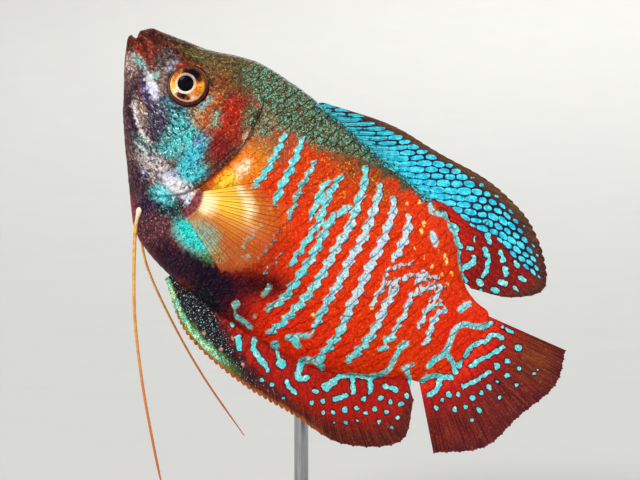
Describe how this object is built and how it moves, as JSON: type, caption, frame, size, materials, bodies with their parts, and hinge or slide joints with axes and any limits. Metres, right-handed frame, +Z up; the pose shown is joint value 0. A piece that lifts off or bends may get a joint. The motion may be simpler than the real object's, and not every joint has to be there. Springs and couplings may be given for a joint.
{
  "type": "dwarf gourami, male, swimming nose up, on a display stand",
  "caption": "Small deep-bodied labyrinth fish, nose up, with long dorsal and anal fins, a fan tail and thread-like belly feelers, held on a rod and round base.",
  "frame": {"origin": "centre of the underside of the stand's base, where it rests on the table", "axes": "+Z up, +X the way the tail points, -Y the side the fish's left flank faces"},
  "size_m": [0.061, 0.05, 0.0714],
  "materials": {
    "skin": "gloss",
    "head_skin": "gloss",
    "red_fin": "satin",
    "blue_fin": "satin",
    "amber_fin": "satin",
    "eye": "gloss",
    "base": "satin",
    "rod": "satin"
  },
  "bodies": {
    "root": {"head": "head_skin", "lower_jaw": "head_skin", "eye_left": "eye", "eye_right": "eye", "trunk": "skin", "tail_stalk": "skin", "dorsal_fin": "blue_fin", "anal_fin": "red_fin", "caudal_fin": "red_fin", "pectoral_fin_left": "amber_fin", "pectoral_fin_right": "amber_fin", "pelvic_feeler_left": "amber_fin", "pelvic_feeler_right": "amber_fin", "stand_base": "base", "stand_rod": "rod"}
  },
  "joints": []
}
